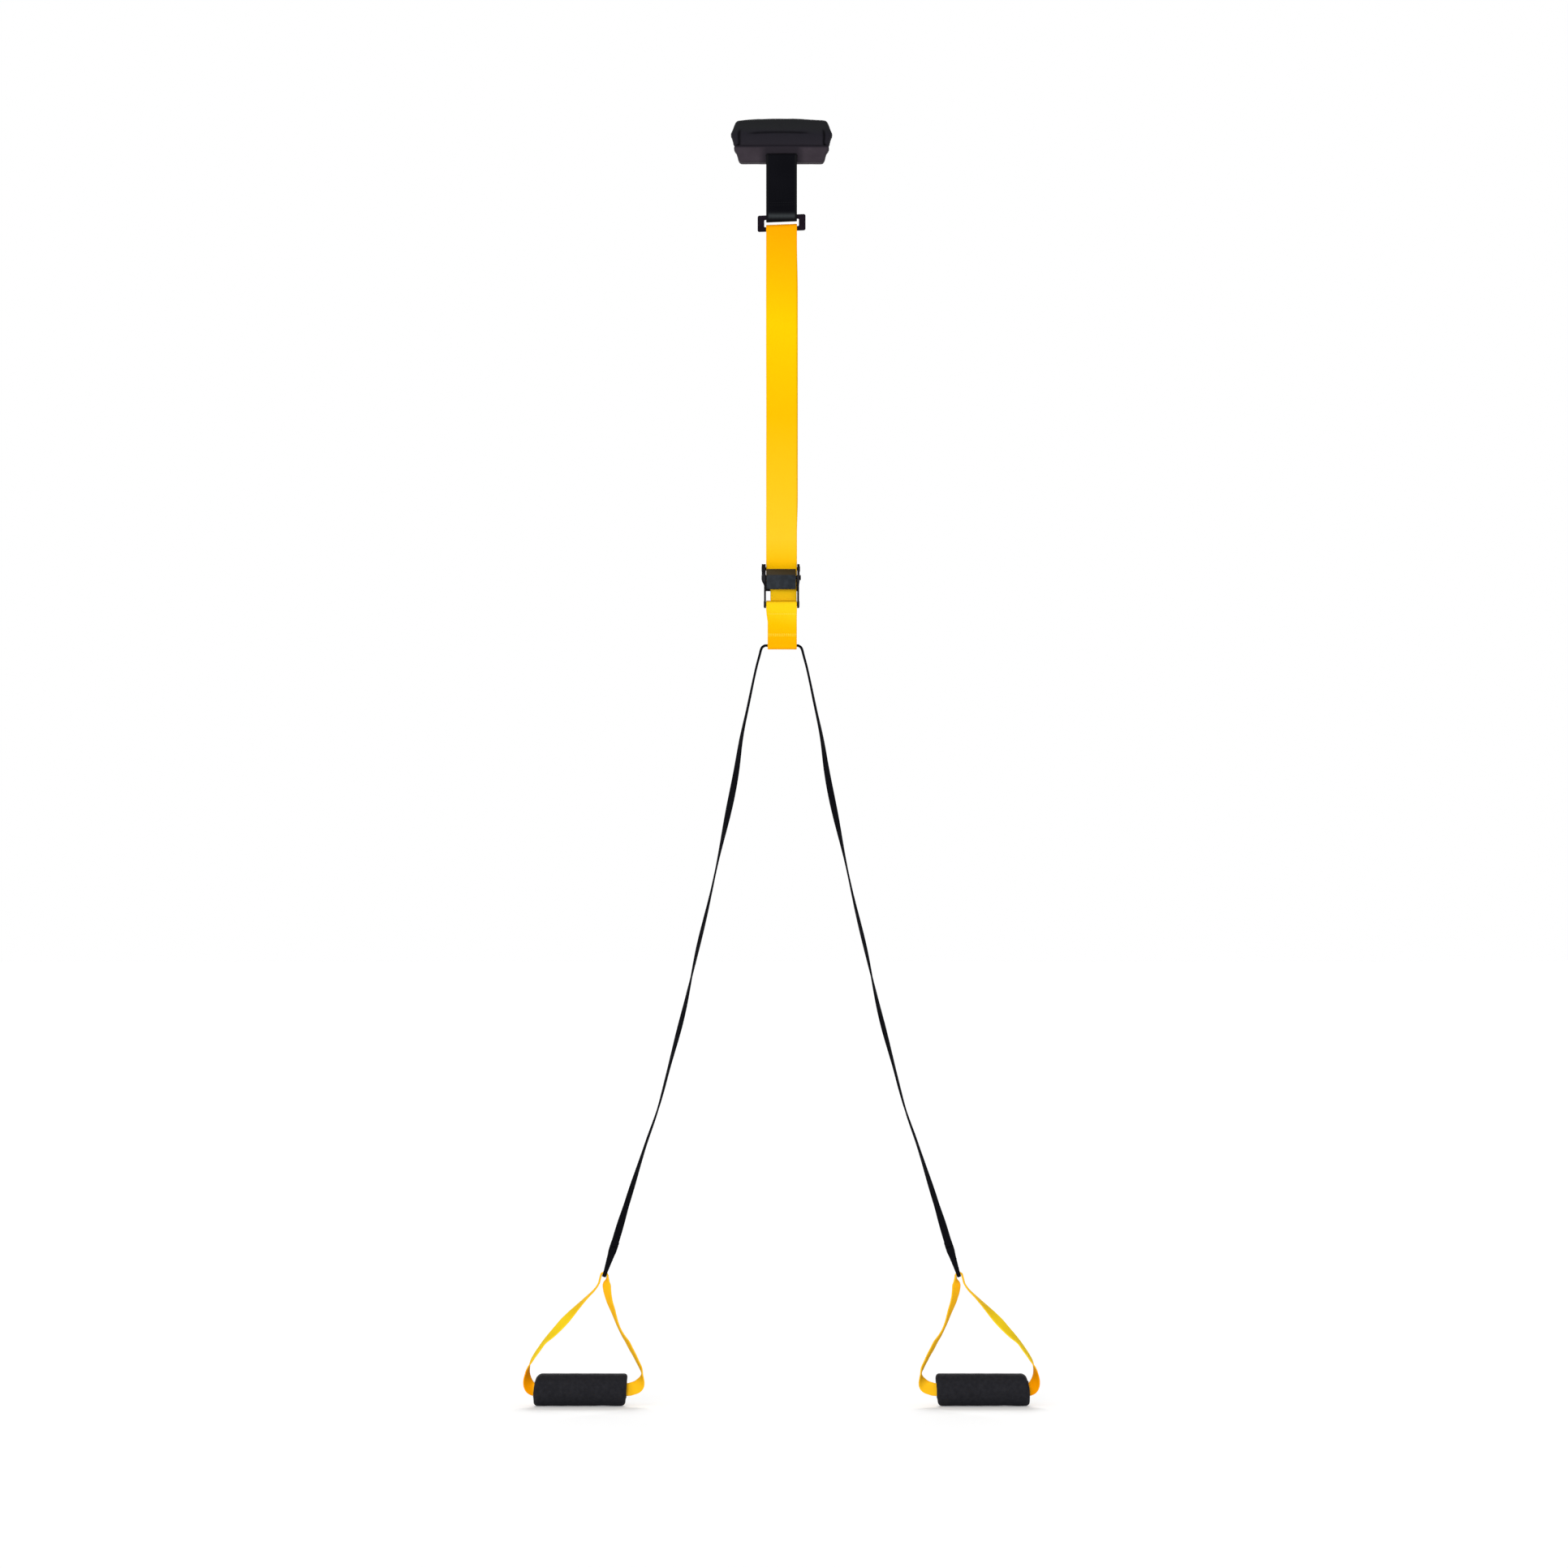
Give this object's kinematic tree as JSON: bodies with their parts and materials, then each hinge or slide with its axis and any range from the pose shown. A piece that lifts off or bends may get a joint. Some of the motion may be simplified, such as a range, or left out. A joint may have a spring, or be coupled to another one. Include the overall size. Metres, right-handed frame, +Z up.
{
  "type": "suspension trainer",
  "caption": "Strap suspension trainer: padded door anchor, ring, adjusting strap with cam buckle, and two foam-gripped handles on one black strap.",
  "frame": {"origin": "on the centreline of the pad's flat front panel, the face that lies against the far side of the door", "axes": "+Z up along the hanging straps, -Y out of the pad's front panel towards the user, +X to the right in the picture"},
  "size_m": [0.6388, 0.0743, 1.5855],
  "materials": {
    "pad_fabric": "matt coated fabric",
    "base_fabric": "matt coated fabric over firm foam",
    "core_foam": "open-cell foam",
    "grip_foam": "closed-cell foam",
    "black_webbing": "woven webbing",
    "yellow_webbing": "woven webbing with a slight sheen",
    "black_steel": "satin black coating",
    "bright_steel": "plated",
    "black_plastic": "moulded"
  },
  "bodies": {
    "door_anchor": {"anchor_cover_front": "pad_fabric", "anchor_cover_rear": "pad_fabric", "anchor_foam_core": "core_foam", "anchor_base": "base_fabric", "anchor_core_rod": "black_plastic", "anchor_strap_root": "black_webbing"},
    "anchor_strap": {"anchor_strap": "black_webbing"},
    "anchor_ring": {"anchor_ring": "black_steel"},
    "main_strap": {"main_strap": "yellow_webbing", "main_strap_rear": "yellow_webbing"},
    "buckle": {"buckle_frame": "black_steel", "buckle_upper_bar": "black_steel", "buckle_lower_bar": "black_steel", "cam_pin": "black_steel", "cam_spring": "bright_steel", "lower_loop": "yellow_webbing"},
    "cam_lever": {"cam_lever": "black_steel"},
    "strap_bight": {"strap_bight": "black_webbing"},
    "left_leg": {"left_leg_strap": "black_webbing"},
    "right_leg": {"right_leg_strap": "black_webbing"},
    "left_handle": {"left_handle_loop": "yellow_webbing"},
    "right_handle": {"right_handle_loop": "yellow_webbing"},
    "left_grip": {"left_grip_tube": "black_plastic", "left_grip_foam": "grip_foam"},
    "right_grip": {"right_grip_tube": "black_plastic", "right_grip_foam": "grip_foam"}
  },
  "joints": [
    {"name": "anchor_strap_swing", "type": "hinge", "parent": "door_anchor", "child": "anchor_strap", "pos_m": [0, -0.0032, -0.017], "axis": [-1, 0, 0], "range_deg": [0, 90]},
    {"name": "ring_swing", "type": "hinge", "parent": "anchor_strap", "child": "anchor_ring", "pos_m": [0, -0.0032, -0.09575], "axis": [-1, 0, 0], "range_deg": [-45, 45]},
    {"name": "main_strap_swing", "type": "hinge", "parent": "anchor_ring", "child": "main_strap", "pos_m": [0, -0.0032, -0.11025], "axis": [-1, 0, 0], "range_deg": [-45, 45]},
    {"name": "length_slide", "type": "slide", "parent": "main_strap", "child": "buckle", "axis": [0, 0, 1], "range_m": [0, 0.3], "deforming": ["main_strap_rear"]},
    {"name": "cam_lever_press", "type": "hinge", "parent": "buckle", "child": "cam_lever", "pos_m": [0, -0.0115, -0.54], "axis": [-1, 0, 0], "range_deg": [0, 55], "stiffness_Nm_per_rad": 0.1, "springref_deg": -28.65},
    {"name": "bight_swing", "type": "hinge", "parent": "buckle", "child": "strap_bight", "pos_m": [0, -0.0103, -0.6236], "axis": [-1, 0, 0], "range_deg": [-60, 60]},
    {"name": "left_leg_spread", "type": "hinge", "parent": "strap_bight", "child": "left_leg", "pos_m": [-0.0205, -0.0103, -0.6236], "axis": [0, 1, 0], "range_deg": [-6, 35]},
    {"name": "right_leg_spread", "type": "hinge", "parent": "strap_bight", "child": "right_leg", "pos_m": [0.0205, -0.0103, -0.6236], "axis": [0, -1, 0], "range_deg": [-6, 35]},
    {"name": "left_handle_swing", "type": "hinge", "parent": "left_leg", "child": "left_handle", "pos_m": [-0.2185, -0.0103, -1.4], "axis": [0, 1, 0], "range_deg": [-25, 25]},
    {"name": "right_handle_swing", "type": "hinge", "parent": "right_leg", "child": "right_handle", "pos_m": [0.2185, -0.0103, -1.4], "axis": [0, -1, 0], "range_deg": [-25, 25]},
    {"name": "left_grip_spin", "type": "hinge", "parent": "left_handle", "child": "left_grip", "pos_m": [-0.2475, -0.0103, -1.5395], "axis": [1, 0, 0], "continuous": true},
    {"name": "right_grip_spin", "type": "hinge", "parent": "right_handle", "child": "right_grip", "pos_m": [0.2475, -0.0103, -1.5395], "axis": [1, 0, 0], "continuous": true}
  ]
}
